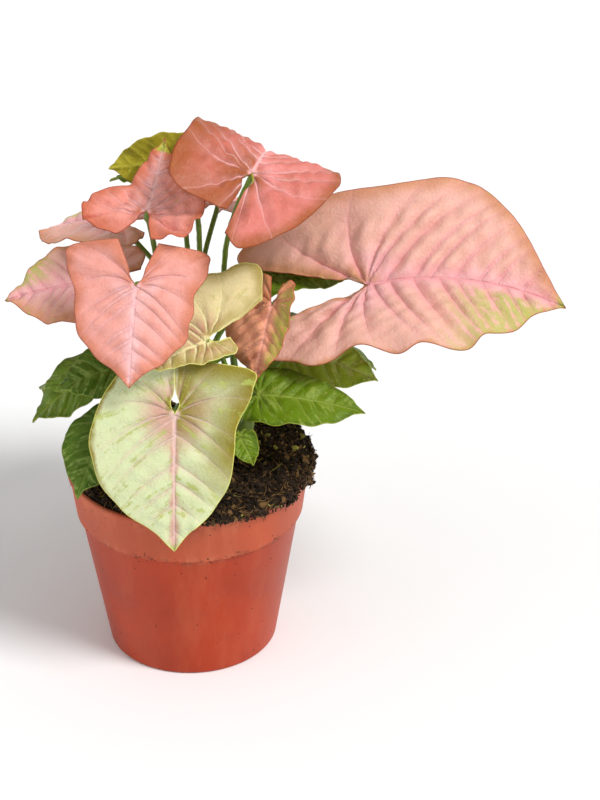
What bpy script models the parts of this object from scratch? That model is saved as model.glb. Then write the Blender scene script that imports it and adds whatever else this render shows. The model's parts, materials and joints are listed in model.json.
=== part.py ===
"""A young arrowhead plant in a round nursery pot, modelled in metres with +Z up.

The origin is the centre of the pot's underside, and -Y is the front. Five shoots stand in the
potting soil. Each shoot is a short stem with its leaf stalks, and each arrow-shaped blade is a
thin waved solid held just clear of the end of its stalk.
"""

import math
import random
from dataclasses import dataclass

import bmesh
import bpy
from mathutils import Matrix, Vector
from mathutils.bvhtree import BVHTree
from mathutils.geometry import interpolate_bezier

MM = 0.001
GAP = 0.35 * MM  # left between pieces that touch

# Pot
POT_HEIGHT = 98 * MM
POT_TOP_RADIUS = 60 * MM
RIM_BEAD = 2.4 * MM  # width and height of the thick edge at the top
RIM_ROUND = 0.6 * MM  # what is taken off the rim's corners
COLLAR_HEIGHT = 24 * MM
COLLAR_TOP_RADIUS = 59 * MM
COLLAR_LOW_RADIUS = 56.4 * MM
COLLAR_ROUND = 0.5 * MM  # what is taken off the collar's lower corner
BODY_TOP_RADIUS = 54.6 * MM
BODY_LOW_RADIUS = 42.5 * MM
WALL = 1.3 * MM
FLOOR = 1.8 * MM
FOOT_DISC, FOOT_RING = 20 * MM, 36 * MM  # the underside stands on a disc and a ring
FOOT_ROUND = 1 * MM  # what is taken off the foot's outer corner
GROOVE_HEIGHT = 2.4 * MM  # the groove between them, which drains the pot
DRAIN_HOLES = 8
DRAIN_RADIUS = 3 * MM
DRAIN_SIDES = 10
POT_SIDES = 48

# Soil
SOIL_CROWN = 105 * MM
SOIL_EDGE = 100 * MM
SOIL_LUMP = 1.5 * MM
SOIL_HEAP = 2 * MM  # how much higher it lies towards the back right, and lower across from there
SOIL_HEAP_AT = 20  # degrees
SOIL_OVERHANG = 61.5 * MM  # the radius that it spills out to
SOIL_OVERHANG_AT = -25  # degrees
SOIL_OVER_RIM = 0.8 * MM  # from the rim to the spilled soil's edge
SOIL_BROW = 2 * MM  # how far in from that edge the top begins
SOIL_LEAST_BROW = 1.6 * MM  # the least height of that place above the rim
SOIL_GAP = 0.6 * MM  # to the pot's wall
SOIL_RINGS = (13 * MM, 26 * MM, 38 * MM, 49 * MM)
SOIL_SIDES = 32
SOCKET_DEPTH = 24 * MM
SOCKET_GAP = 0.5 * MM  # round a stem in the soil

# Shoots
STEM_RADIUS = 4.4 * MM
STEM_HEIGHT = 20 * MM  # above the soil's crown
STEM_SIDES = 10
STALK_RADIUS = 1.4 * MM
SHEATH_RADIUS = 2.7 * MM
SHEATH_SHARE = 0.4  # of the stalk's length
FIRST_STALK, NEXT_STALK = 0.62, 0.08  # where stalks leave the stem, as shares of its height
STALK_RISE, STALK_SET = 0.42, 0.12  # how it first goes up and out, as shares of its reach
STALK_ARRIVAL = 0.36  # the share of its reach over which it turns in to the joint
STALK_POINTS = 11
STALK_CHECKS = 30  # places along a stalk where its clearance is tested
STALK_ROOM = 1 * MM  # that a stalk keeps from what it passes
BOWS = range(0, 43, 6)  # how far a stalk may bow aside to get clear, in millimetres
BOW_TURNS = 10
BOW_SHAPES = ((1, 1), (1, 0), (0, 1), (1, -1))  # what the lower and upper half do of a bow
STEMS = {  # where each stem stands and the direction it leans in, in millimetres and degrees
    1: ((-12, -18), (-6, -8)),
    2: ((22, -2), (9, -2)),
    3: ((-22, 8), (-9, 2)),
    4: ((4, 22), (1, 9)),
    5: ((14, -25), (5, -9)),
}

# Blades
BLADE_THICKNESS = 0.8 * MM
RIB_PLACES = (0, 0.9, 1.9, 2.9, 3.9, 4.7, 5.4, 6, 6.5, 7)  # along the outline, tip to sinus
RIB_STEPS = (0, 0.36, 0.7, 1)  # from the midrib to the margin
WELD = 0.02 * MM  # points of a blade closer than this are one
LOBE_BEND = 0.6  # the share of the length over which a lobe makes its whole bend
VEIN_BOW = 0.07  # the side veins bow back by this share of the length

TERRACOTTA = (0.56, 0.13, 0.045, 1)
SOIL_BROWN = (0.035, 0.024, 0.016, 1)
STALK_GREEN = (0.13, 0.26, 0.05, 1)
TONES = {
    "pink": (0.80, 0.36, 0.30, 1),
    "coral": (0.76, 0.24, 0.18, 1),
    "pale": (0.66, 0.66, 0.38, 1),
    "green": (0.20, 0.40, 0.07, 1),
    "dark": (0.07, 0.17, 0.04, 1),
}


@dataclass
class Leaf:
    """One blade: lengths in millimetres, angles in degrees, shares of the blade's length.

    A pair holds the values of the left and the right half, seen from the joint to the tip.
    """

    shoot: int  # the stem that carries it
    tone: str
    joint: tuple  # where the stalk meets the blade
    heading: float  # of the tip, seen from above: 0 is +X, 90 is +Y
    pitch: float  # of the tip above the horizon
    roll: float  # lifts the left half and lowers the right
    length: float  # from the joint to the tip, along the midrib
    width: tuple = (0.46, 0.46)  # of each half, as a share
    lobe: tuple = (0.62, 0.62)  # from the joint to the end of each lobe, as a share
    spread: tuple = (34, 34)  # of each lobe from the midrib's line
    notch: tuple = (0.4, 0.4)  # where a lobe's inner side ends, as a share of that angle
    fold: tuple = (12, 12)  # each half rises this much at the midrib
    cup: tuple = (-18, -18)  # what the fold gains on its way to the margin
    arch: float = 24  # the midrib's whole downward bend
    droop: float = 14  # the lobes' whole downward bend
    sweep: float = 0  # the midrib bows to the left by this
    twist: float = 0  # of the tip about the midrib
    wave: float = 1.6  # height of the margin's waves
    phase: float = 0  # of the waves, in turns
    full: float = 0  # widens the half towards the tip, or narrows it below 0
    lean: float = 35  # of the stalk's end from the blade's normal


LEAVES = {
    # The leaves that face the front
    "leaf_broad_right": Leaf(2, "pink", (87, 5, 191), -9, -3, 47, 95, (0.52, 0.42), (0.84, 0.56),
                             (26, 32), (0.8, 0.6), (8, 30), (-14, -22), 26, 10, 15, 0, 2.4, 0, 0.1),
    "leaf_top": Leaf(2, "coral", (33, 5, 248), 86, -20, 22, 60, (0.60, 0.64), (0.66, 0.76),
                     (48, 14), (0.4, 0.2), (9, 10), (-4, -10), 80, 10),
    "leaf_upper_left": Leaf(3, "coral", (-16, -2, 232), 78, 34, 0, 42, (0.66, 0.70), (0.66, 0.66),
                            (68, 50), (0.5, 0.5), (0, 4), (6, 24), -26, 10, 0, 0, 1.6, 0, -0.6),
    "leaf_pink_front": Leaf(1, "coral", (-20, -30, 207), -98, -62, 0, 47, (0.58, 0.62),
                            (0.74, 0.80), (60, 62), (0.4, 0.4), (-4, -4), (-8, -8), 14, -8),
    "leaf_pale_front": Leaf(1, "pale", (-3, -46, 149), -92, -70, 0, 65, (0.44, 0.60),
                            (0.62, 0.48), (58, 38), (0.4, 0.4), (5, 5), (-10, -10), 14, -12),
    "leaf_cream": Leaf(5, "pale", (12, -34, 181), 200, -20, 0, 36, (0.30, 0.72), (0.40, 1.15),
                       (34, 36), (0.4, 0.4), (-40, 62), (-10, 10), 10, 4, 0, 0, 1.6, 0, -0.6),
    "leaf_folded": Leaf(2, "coral", (42, -14, 190), -112, -56, 0, 38, (0.40, 0.66), (0.40, 0.56),
                        (40, 50), (0.4, 0.4), (30, -16), (0, -10), 16, 8),
    "leaf_green_right": Leaf(2, "green", (49, 10, 155), -10, -17, 30, 47, (0.34, 0.38),
                             (0.4, 0.4)),
    "leaf_green_low": Leaf(5, "green", (36, -23, 147), -6, -8, 27, 51, (0.30, 0.34),
                           (0.3, 0.3)),
    "leaf_olive": Leaf(4, "green", (-2, 34, 242), 178, -6, 88, 35, (0.42, 0.42), (0.5, 0.5)),
    "leaf_back_green": Leaf(3, "green", (-12, 49, 231), 190, -6, -10, 26, (0.36, 0.36), (0.3, 0.3)),
    "leaf_dark_left": Leaf(3, "dark", (-27, -18, 160), 196, -14, -26, 36, (0.4, 0.4), (0.4, 0.4)),
    "leaf_dark_front": Leaf(1, "dark", (-36, -30, 134), -120, -44, 0, 38, (0.46, 0.46),
                            (0.4, 0.4)),
    "leaf_grey_front": Leaf(1, "green", (-14, -34, 126), -109, -44, 0, 38, (0.5, 0.46),
                            (0.34, 0.34)),
    "leaf_small_front": Leaf(5, "green", (26, -40, 134), -60, -30, 0, 17, (0.46, 0.46),
                             (0.3, 0.3)),
    "leaf_under_broad": Leaf(2, "green", (42, 32, 182), 0, 0, 10, 38, (0.4, 0.4), (0.4, 0.4)),
    # The leaves of the sides and the back
    "leaf_left": Leaf(3, "pink", (-42, 4, 193), 176, -14, -34, 46),
    "leaf_left_low": Leaf(3, "green", (-44, 2, 146), 194, -36, -10, 40, (0.46, 0.46),
                          (0.4, 0.4)),
    "leaf_back_left": Leaf(4, "pink", (-36, 60, 201), 138, -22, -10, 60, (0.46, 0.46), (0.54, 0.54)),
    "leaf_back": Leaf(4, "pink", (14, 68, 207), 80, -26, 0, 70, (0.46, 0.46), (0.54, 0.54)),
    "leaf_back_right": Leaf(4, "coral", (56, 56, 190), 42, -26, 10, 62, (0.46, 0.46),
                            (0.5, 0.45)),
    "leaf_back_low": Leaf(4, "pale", (-6, 54, 150), 104, -46, 0, 60, (0.46, 0.46), (0.5, 0.5)),
    "leaf_back_left_low": Leaf(3, "green", (-44, 32, 140), 150, -40, 0, 50, (0.46, 0.46),
                               (0.4, 0.4)),
    "leaf_back_right_low": Leaf(4, "green", (58, 40, 148), 26, -36, 0, 50, (0.46, 0.46),
                                (0.4, 0.4)),
}


def outline(leaf, half):
    """The points of one half's margin, from the tip round the lobe to the sinus, as shares."""
    width, lobe, full = leaf.width[half], leaf.lobe[half], leaf.full
    spread = math.radians(leaf.spread[half])
    shoulder = Vector((0.12, width))
    lobe_end = lobe * Vector((-math.cos(spread), math.sin(spread)))
    flank = shoulder.lerp(lobe_end, 0.58)
    flank += 0.12 * lobe * Vector((-math.sin(spread / 2), math.cos(spread / 2)))
    inner = leaf.notch[half] * spread
    sinus = lobe * (0.95 - 0.3 * spread) * Vector((-math.cos(inner), math.sin(inner)))
    return [
        Vector((1, 0)),
        Vector((0.87, 0.2 * (1 + full) * width)),
        Vector((0.68, (0.62 + 0.6 * full) * width)),
        Vector((0.42, (0.94 + 0.8 * full) * width)),
        shoulder,
        flank,
        lobe_end,
        sinus,
    ]


SPINE = (1, 0.84, 0.58, 0.30, 0.08, 0, 0, 0)  # where the rib of each outline point leaves


def through(points, place):
    """The point at a place, counted in points, on a smooth curve through a list of points."""
    start = min(int(place), len(points) - 2)
    u = place - start
    last = len(points) - 1
    a, b, c, d = (points[max(0, min(last, start + step))] for step in (-1, 0, 1, 2))
    return 0.5 * (2 * b + (c - a) * u + (2 * a - 5 * b + 4 * c - d) * u**2
                  + (3 * b - a - 3 * c + d) * u**3)


def arc(slope, turn, distance):
    """How far an arc gets along and up, and its last slope."""
    last = slope + turn * distance
    if abs(turn) < 1e-9:
        return distance * math.cos(slope), distance * math.sin(slope), last
    along = (math.sin(last) - math.sin(slope)) / turn
    return along, (math.cos(slope) - math.cos(last)) / turn, last


def blade_point(leaf, half, place, step):
    """The point of the blade's middle surface at a share of the rib from midrib to margin."""
    margin = through(outline(leaf, half), place)
    start = Vector((max(0, through(SPINE, place)), 0))
    flat = start.lerp(margin, step)
    along = flat.x - VEIN_BOW * 4 * step * (1 - step) * min(1, place) * max(0, 1 - place / 5)
    across = max(0, flat.y)
    out = across / leaf.width[half]

    rise = math.radians(leaf.fold[half] + 0.5 * leaf.cup[half] * out)
    side = 1 if half == 0 else -1
    wave = leaf.wave * step**2 * math.sin(math.tau * (2 * place / 7 + leaf.phase + 0.3 * half))
    y = side * leaf.length * across * math.cos(rise)
    z = leaf.length * across * math.sin(rise) + wave * min(1, place)
    turn = math.radians(leaf.twist) * along
    y, z = y * math.cos(turn) - z * math.sin(turn), y * math.sin(turn) + z * math.cos(turn)
    bowed = along * (1 - along) if along > 0 else along
    y += leaf.length * math.tan(math.radians(leaf.sweep)) * bowed

    arch = math.radians(leaf.arch)
    bend = arch if along > 0 else math.radians(leaf.droop) / LOBE_BEND
    forward, up, slope = arc(arch / 2, -bend / leaf.length, along * leaf.length)
    return Vector((forward - z * math.sin(slope), y, up + z * math.cos(slope)))


def place_of(leaf):
    """The matrix that takes a blade, in millimetres about its joint, to its place in metres."""
    turn = Matrix.Rotation(math.radians(leaf.heading), 4, "Z")
    tilt = Matrix.Rotation(math.radians(-leaf.pitch), 4, "Y")
    roll = Matrix.Rotation(math.radians(leaf.roll), 4, "X")
    return Matrix.Translation(MM * Vector(leaf.joint)) @ turn @ tilt @ roll @ Matrix.Scale(MM, 4)


def material(name, colour, roughness):
    finish = bpy.data.materials.new(name)
    finish.use_nodes = True
    shader = finish.node_tree.nodes["Principled BSDF"]
    shader.inputs["Base Color"].default_value = colour
    shader.inputs["Roughness"].default_value = roughness
    return finish


def add_object(name, mesh, collection, finish=None):
    thing = bpy.data.objects.new(name, mesh)
    collection.objects.link(thing)
    if finish:
        mesh.materials.append(finish)
    return thing


def new_collection(name):
    collection = bpy.data.collections.new(name)
    bpy.context.scene.collection.children.link(collection)
    return collection


def mesh_from(name, build):
    """A mesh whose faces a function adds to an empty bmesh."""
    mesh = bpy.data.meshes.new(name)
    cage = bmesh.new()
    build(cage)
    cage.to_mesh(mesh)
    cage.free()
    return mesh


def apply_modifiers(thing):
    """Replaces an object's mesh by what its modifiers make of it."""
    graph = bpy.context.evaluated_depsgraph_get()
    mesh = bpy.data.meshes.new_from_object(thing.evaluated_get(graph), depsgraph=graph)
    thing.modifiers.clear()
    thing.data = mesh


def cut(thing, cutters):
    """Cuts a collection's objects out of a thing."""
    for cutter in cutters.objects:
        cutter.hide_render = True
        cutter.display_type = "WIRE"
    boolean = thing.modifiers.new("Cut", "BOOLEAN")
    boolean.operation = "DIFFERENCE"
    boolean.operand_type = "COLLECTION"
    boolean.collection = cutters


def pot_profile():
    """Half of the pot's section: up the inside, over the rim, down the outside and in below."""
    low_inside = BODY_LOW_RADIUS - WALL
    ledge = POT_HEIGHT - COLLAR_HEIGHT
    top_inside = POT_TOP_RADIUS - RIM_BEAD
    return [
        (0, FLOOR),
        (FOOT_DISC - WALL, FLOOR),
        (FOOT_DISC, FLOOR + GROOVE_HEIGHT),
        (FOOT_RING, FLOOR + GROOVE_HEIGHT),
        (FOOT_RING + WALL, FLOOR + GROOVE_HEIGHT / 2),
        (low_inside, FLOOR + GROOVE_HEIGHT),
        (BODY_TOP_RADIUS - WALL, ledge - WALL),
        (COLLAR_LOW_RADIUS - WALL, ledge + WALL),
        (top_inside, POT_HEIGHT - RIM_ROUND),
        (top_inside + RIM_ROUND, POT_HEIGHT),
        (POT_TOP_RADIUS - RIM_ROUND, POT_HEIGHT),
        (POT_TOP_RADIUS, POT_HEIGHT - RIM_ROUND),
        (POT_TOP_RADIUS, POT_HEIGHT - RIM_BEAD),
        (COLLAR_TOP_RADIUS, POT_HEIGHT - RIM_BEAD - RIM_ROUND),
        (COLLAR_LOW_RADIUS, ledge + COLLAR_ROUND),
        (COLLAR_LOW_RADIUS - COLLAR_ROUND, ledge),
        (BODY_TOP_RADIUS, ledge),
        (BODY_LOW_RADIUS, FOOT_ROUND),
        (BODY_LOW_RADIUS - FOOT_ROUND, 0),
        (FOOT_RING, 0),
        (FOOT_RING - WALL, GROOVE_HEIGHT),
        (FOOT_DISC + WALL, GROOVE_HEIGHT),
        (FOOT_DISC, 0),
        (0, 0),
    ]


def make_pot(parts, cutters):
    profile = pot_profile()

    def draw(cage):
        points = [cage.verts.new((x, 0, z)) for x, z in profile]
        for start, end in zip(points, points[1:]):
            cage.edges.new((start, end))

    finish = material("terracotta_plastic", TERRACOTTA, 0.38)
    pot = add_object("pot", mesh_from("pot", draw), parts, finish)
    turn = pot.modifiers.new("Turn", "SCREW")
    turn.steps = turn.render_steps = POT_SIDES
    turn.use_merge_vertices = True
    turn.merge_threshold = 0.05 * MM

    for index in range(DRAIN_HOLES):
        angle = math.tau * (index + 0.5) / DRAIN_HOLES
        reach = (FOOT_DISC + FOOT_RING) / 2
        centre = Vector((reach * math.cos(angle), reach * math.sin(angle), GROOVE_HEIGHT))

        def drill(cage):
            bmesh.ops.create_cone(cage, cap_ends=True, segments=DRAIN_SIDES, radius1=DRAIN_RADIUS,
                                  radius2=DRAIN_RADIUS, depth=4 * FLOOR,
                                  matrix=Matrix.Translation(centre))

        add_object(f"drain_{index + 1}", mesh_from("drain", drill), cutters)
    cut(pot, cutters)
    apply_modifiers(pot)
    pot.data.shade_smooth()
    pot.data.set_sharp_from_angle(angle=math.radians(30))


def soil_height(radius, angle, lumps):
    """The soil's top: a low dome with lumps, higher at the back right."""
    dome = SOIL_EDGE + (SOIL_CROWN - SOIL_EDGE) * (1 - (radius / POT_TOP_RADIUS)**2)
    heap = SOIL_HEAP * math.cos(angle - math.radians(SOIL_HEAP_AT)) * radius / POT_TOP_RADIUS
    return dome + heap + SOIL_LUMP * lumps.uniform(-1, 1)


def make_soil(parts, sockets):
    """A plug that fills the pot and spills a little over its rim on the right."""
    lumps = random.Random(8)
    bottom = FLOOR + GROOVE_HEIGHT + SOIL_GAP
    ledge = POT_HEIGHT - COLLAR_HEIGHT
    top_inside = POT_TOP_RADIUS - RIM_BEAD
    wall = [  # the sides that follow the pot's wall, from the lip down
        (top_inside - SOIL_GAP, POT_HEIGHT + GAP),
        (top_inside - SOIL_GAP, POT_HEIGHT - RIM_ROUND),
        (COLLAR_LOW_RADIUS - WALL - SOIL_GAP, ledge + WALL),
        (BODY_TOP_RADIUS - WALL - SOIL_GAP, ledge - WALL),
        (BODY_LOW_RADIUS - WALL - SOIL_GAP, bottom),
    ]

    def shape(cage):
        crown = cage.verts.new((0, 0, SOIL_CROWN))
        base = cage.verts.new((0, 0, bottom))
        columns = []
        for index in range(SOIL_SIDES):
            angle = math.tau * index / SOIL_SIDES
            spill = max(0, math.cos(angle - math.radians(SOIL_OVERHANG_AT)))
            edge = top_inside + (SOIL_OVERHANG - top_inside) * spill
            edge += SOIL_LUMP * lumps.uniform(0, 0.6)
            section = [(r, soil_height(r, angle, lumps)) for r in SOIL_RINGS]
            brow = max(soil_height(edge, angle, lumps), POT_HEIGHT + SOIL_LEAST_BROW)
            section += [(edge - SOIL_BROW, brow), (edge, POT_HEIGHT + SOIL_OVER_RIM)]
            section += wall
            direction = Vector((math.cos(angle), math.sin(angle), 0))
            columns.append([cage.verts.new(r * direction + Vector((0, 0, z)))
                            for r, z in section])
        for left, right in zip(columns, columns[1:] + columns[:1]):
            cage.faces.new((crown, left[0], right[0]))
            for i in range(len(left) - 1):
                cage.faces.new((left[i], left[i + 1], right[i + 1], right[i]))
            cage.faces.new((left[-1], base, right[-1]))
        bmesh.ops.triangulate(cage, faces=cage.faces)

    finish = material("potting_soil", SOIL_BROWN, 0.95)
    soil = add_object("soil", mesh_from("soil", shape), parts, finish)
    cut(soil, sockets)
    apply_modifiers(soil)


def stem_places(shoot):
    """The foot and the top of a stem, in metres."""
    (x, y), (lean_x, lean_y) = STEMS[shoot]
    foot = Vector((x * MM, y * MM, SOIL_CROWN - SOCKET_DEPTH))
    height = SOCKET_DEPTH + STEM_HEIGHT
    lean = Vector((math.sin(math.radians(lean_x)), math.sin(math.radians(lean_y)), 1))
    return foot, foot + height * lean


def rod(name, low, high, radius, collection, finish=None):
    """A round bar between two points."""
    axis = high - low
    turn = axis.to_track_quat("Z", "Y").to_matrix().to_4x4()
    place = Matrix.Translation((low + high) / 2) @ turn

    def draw(cage):
        bmesh.ops.create_cone(cage, cap_ends=True, segments=STEM_SIDES, radius1=radius,
                              radius2=radius, depth=axis.length, matrix=place)

    return add_object(name, mesh_from(name, draw), collection, finish)


def stalk_radius(share):
    """A stalk is thickest at its foot, where it sheaths the stem."""
    return STALK_RADIUS + (SHEATH_RADIUS - STALK_RADIUS) * max(0, 1 - share / SHEATH_SHARE)**1.5


def stalk_end(leaf):
    """Where a stalk ends, just under the blade's joint, and the direction it arrives in."""
    turned = place_of(leaf).to_3x3().normalized()
    slope = math.radians(leaf.arch) / 2
    normal = turned @ Vector((-math.sin(slope), 0, math.cos(slope)))
    ahead = turned @ Vector((math.cos(slope), 0, math.sin(slope)))
    lean = math.radians(leaf.lean)
    droop = math.radians(max(0, -min(leaf.fold)))
    clear = BLADE_THICKNESS / 2 + GAP + STALK_RADIUS * (math.sin(lean) + math.tan(droop))
    direction = normal * math.cos(lean) + ahead * math.sin(lean)
    return MM * Vector(leaf.joint) - clear * normal, direction


def stalk_curves(leaf, start):
    """The curves that a stalk may follow: the plain one first, then ones that bow aside."""
    end, direction = stalk_end(leaf)
    reach = (end - start).length
    rising = start + Vector((0, 0, STALK_RISE * reach)) + STALK_SET * (end - start)
    arriving = end - STALK_ARRIVAL * reach * direction
    for size in BOWS:
        for turn in range(BOW_TURNS):
            angle = math.tau * turn / BOW_TURNS
            bow = MM * size * Vector((math.cos(angle), math.sin(angle), 0))
            for low, high in BOW_SHAPES:
                yield start, rising + low * bow, arriving + high * bow, end


def is_clear(name, points, sheets, crowd):
    """Whether a stalk's points keep clear of the blades and of what else stands there."""
    for index, point in enumerate(points):
        share = index / (len(points) - 1)
        room = stalk_radius(share) + STALK_ROOM
        for other, sheet in sheets.items():
            near_joint = other == name and share > 0.8
            if not near_joint and sheet.find_nearest(point, room + BLADE_THICKNESS / 2)[0]:
                return False
        if any((point - place).length < room + radius for place, radius in crowd):
            return False
    return True


def route_stalks(sheets):
    """The path of each leaf's stalk, from inside its stem, clear of blades and other shoots."""
    routes, taken = {}, {}
    for shoot in STEMS:
        low, high = stem_places(shoot)
        taken[shoot] = [(low.lerp(high, step / 12), STEM_RADIUS) for step in range(13)]
    counts = dict.fromkeys(STEMS, 0)
    for name, leaf in LEAVES.items():
        low, high = stem_places(leaf.shoot)
        start = low.lerp(high, FIRST_STALK + NEXT_STALK * counts[leaf.shoot])
        counts[leaf.shoot] += 1
        crowd = [spot for shoot in STEMS if shoot != leaf.shoot for spot in taken[shoot]]
        for curve in stalk_curves(leaf, start):
            checked = interpolate_bezier(*curve, STALK_CHECKS)
            if is_clear(name, checked, sheets, crowd):
                break
        else:
            raise RuntimeError(f"{name}: its stalk finds no clear way")
        routes[name] = interpolate_bezier(*curve, STALK_POINTS)
        last = STALK_CHECKS - 1
        taken[leaf.shoot] += [(p, stalk_radius(i / last)) for i, p in enumerate(checked)]
    return routes


def make_stalk(name, points, collection):
    """A stalk that is thickest where it sheaths the stem, as a mesh."""
    curve = bpy.data.curves.new(name, "CURVE")
    curve.dimensions = "3D"
    curve.bevel_depth = STALK_RADIUS
    curve.bevel_resolution = 1
    curve.use_fill_caps = True
    spline = curve.splines.new("POLY")
    spline.points.add(len(points) - 1)
    for index, (target, point) in enumerate(zip(spline.points, points)):
        target.co = (*point, 1)
        target.radius = stalk_radius(index / (len(points) - 1)) / STALK_RADIUS
    guide = bpy.data.objects.new(name + "_line", curve)
    collection.objects.link(guide)
    bpy.context.view_layer.update()
    graph = bpy.context.evaluated_depsgraph_get()
    mesh = bpy.data.meshes.new_from_object(guide.evaluated_get(graph), depsgraph=graph)
    cage = bmesh.new()
    cage.from_mesh(mesh)
    bmesh.ops.remove_doubles(cage, verts=cage.verts, dist=0.01 * MM)
    cage.to_mesh(mesh)
    cage.free()
    thing = add_object(name, mesh, collection)
    thing.matrix_world = guide.matrix_world
    bpy.data.objects.remove(guide)
    return thing


def make_shoot(shoot, routes, parts, sockets):
    """A stem and its leaf stalks, joined in one solid, with a socket for it in the soil."""
    low, high = stem_places(shoot)
    finish = material(f"shoot_{shoot}_green", STALK_GREEN, 0.4)
    stem = rod(f"shoot_{shoot}", low, high, STEM_RADIUS, parts, finish)
    axis = (high - low).normalized()
    top = low + (SOCKET_DEPTH + STEM_HEIGHT) * axis
    rod(f"socket_{shoot}", low - SOCKET_GAP * axis, top, STEM_RADIUS + SOCKET_GAP, sockets)

    stalks = new_collection(f"shoot_{shoot}_stalks")
    for name, points in routes.items():
        if LEAVES[name].shoot == shoot:
            make_stalk(name.replace("leaf", "stalk"), points, stalks)
    join = stem.modifiers.new("Join", "BOOLEAN")
    join.operation = "UNION"
    join.operand_type = "COLLECTION"
    join.collection = stalks
    apply_modifiers(stem)
    for stalk in list(stalks.objects):
        bpy.data.objects.remove(stalk)
    bpy.data.collections.remove(stalks)
    stem.data.shade_smooth()


def blade_sheet(leaf):
    """A blade's middle surface: its points, in metres, and its triangles."""
    place = place_of(leaf)
    row = len(RIB_STEPS)
    points, triangles = [], []
    for half in (0, 1):
        for along in RIB_PLACES:
            for step in RIB_STEPS:
                points.append(place @ blade_point(leaf, half, along, step))
        first = half * row * len(RIB_PLACES)
        for rib in range(len(RIB_PLACES) - 1):
            for i in range(row - 1):
                near = first + rib * row + i
                far = near + row
                pair = [(near, near + 1, far + 1), (near, far + 1, far)]
                triangles += pair if half else [corners[::-1] for corners in pair]
    return points, triangles


def make_leaf(name, leaf, parts):
    """A blade: its middle surface, given a thickness by Solidify."""
    points, triangles = blade_sheet(leaf)
    mesh = bpy.data.meshes.new(name)
    mesh.from_pydata(points, [], triangles)
    cage = bmesh.new()
    cage.from_mesh(mesh)
    bmesh.ops.remove_doubles(cage, verts=cage.verts, dist=WELD)
    cage.to_mesh(mesh)
    cage.free()
    finish = material(name + "_blade", TONES[leaf.tone], 0.45)
    blade = add_object(name, mesh, parts, finish)
    solid = blade.modifiers.new("Thickness", "SOLIDIFY")
    solid.thickness = BLADE_THICKNESS
    solid.offset = 0
    blade.data.shade_smooth()


def clear_scene():
    for thing in list(bpy.data.objects):
        bpy.data.objects.remove(thing)


def main():
    clear_scene()
    parts = new_collection("arrowhead_plant")
    cutters = new_collection("pot_cutters")
    sockets = new_collection("soil_cutters")
    make_pot(parts, cutters)
    sheets = {name: BVHTree.FromPolygons(*blade_sheet(leaf)) for name, leaf in LEAVES.items()}
    routes = route_stalks(sheets)
    for shoot in STEMS:
        make_shoot(shoot, routes, parts, sockets)
    make_soil(parts, sockets)
    for name, leaf in LEAVES.items():
        make_leaf(name, leaf, parts)


main()
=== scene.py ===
"""The looks of a young potted arrowhead plant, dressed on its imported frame.

Each blade is drawn again at a fine resolution from the same few sizes as its solid, with sunken
side veins, quilted tissue between them and a raised midrib below. The stalks are smoothed, the
soil gets crumbs and fibres, and the pot is turned anew with soft edges. Lengths inside a blade
are in millimetres, and everything else is in metres.
"""

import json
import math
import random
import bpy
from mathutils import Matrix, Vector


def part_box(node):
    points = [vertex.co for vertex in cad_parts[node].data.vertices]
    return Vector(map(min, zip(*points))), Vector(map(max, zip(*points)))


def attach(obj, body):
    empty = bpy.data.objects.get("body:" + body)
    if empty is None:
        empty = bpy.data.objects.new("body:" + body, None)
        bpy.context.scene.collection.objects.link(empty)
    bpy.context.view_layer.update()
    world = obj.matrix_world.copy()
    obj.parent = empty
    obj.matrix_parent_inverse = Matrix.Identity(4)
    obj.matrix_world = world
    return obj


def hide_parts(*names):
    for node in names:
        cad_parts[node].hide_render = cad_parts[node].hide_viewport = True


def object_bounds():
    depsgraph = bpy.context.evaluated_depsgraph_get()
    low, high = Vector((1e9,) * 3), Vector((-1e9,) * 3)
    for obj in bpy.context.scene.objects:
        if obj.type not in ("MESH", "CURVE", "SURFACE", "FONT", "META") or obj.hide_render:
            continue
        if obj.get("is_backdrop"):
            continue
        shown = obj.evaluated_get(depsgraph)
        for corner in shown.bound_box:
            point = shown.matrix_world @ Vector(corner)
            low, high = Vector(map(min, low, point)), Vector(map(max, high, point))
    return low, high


bl_info = {
    "name": "Potted Arrowhead Plant",
    "version": (1, 0, 0),
    "blender": (4, 5, 0),
    "location": "3D View > Sidebar > Arrowhead",
    "description": "Dresses the frame of a potted arrowhead plant and sets the stage",
    "category": "Add Mesh",
}

from dataclasses import dataclass

import bmesh
import bpy
import numpy as np
from bpy.props import FloatProperty, FloatVectorProperty, IntProperty, PointerProperty
from mathutils import Matrix, Vector, noise

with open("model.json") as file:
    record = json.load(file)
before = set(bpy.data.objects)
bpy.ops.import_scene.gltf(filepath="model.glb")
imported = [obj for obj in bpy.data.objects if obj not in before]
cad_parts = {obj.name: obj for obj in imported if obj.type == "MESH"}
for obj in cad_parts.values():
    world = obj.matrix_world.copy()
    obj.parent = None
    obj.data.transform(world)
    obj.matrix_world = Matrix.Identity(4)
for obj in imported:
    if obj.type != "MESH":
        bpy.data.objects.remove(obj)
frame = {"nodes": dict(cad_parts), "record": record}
cad_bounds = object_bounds()

MM = 0.001
BODY = "root"
SAME_SPOT = 0.02 * MM  # points closer than this are joined


def display(red, green, blue):
    """A colour given as display values up to 255, as the linear colour that shaders take."""
    shares = (channel / 255 for channel in (red, green, blue))
    return tuple(s / 12.92 if s <= 0.04045 else ((s + 0.055) / 1.055) ** 2.4 for s in shares)


Pair = float | tuple  # a value for each half, left and right, seen from the joint to the tip


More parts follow.
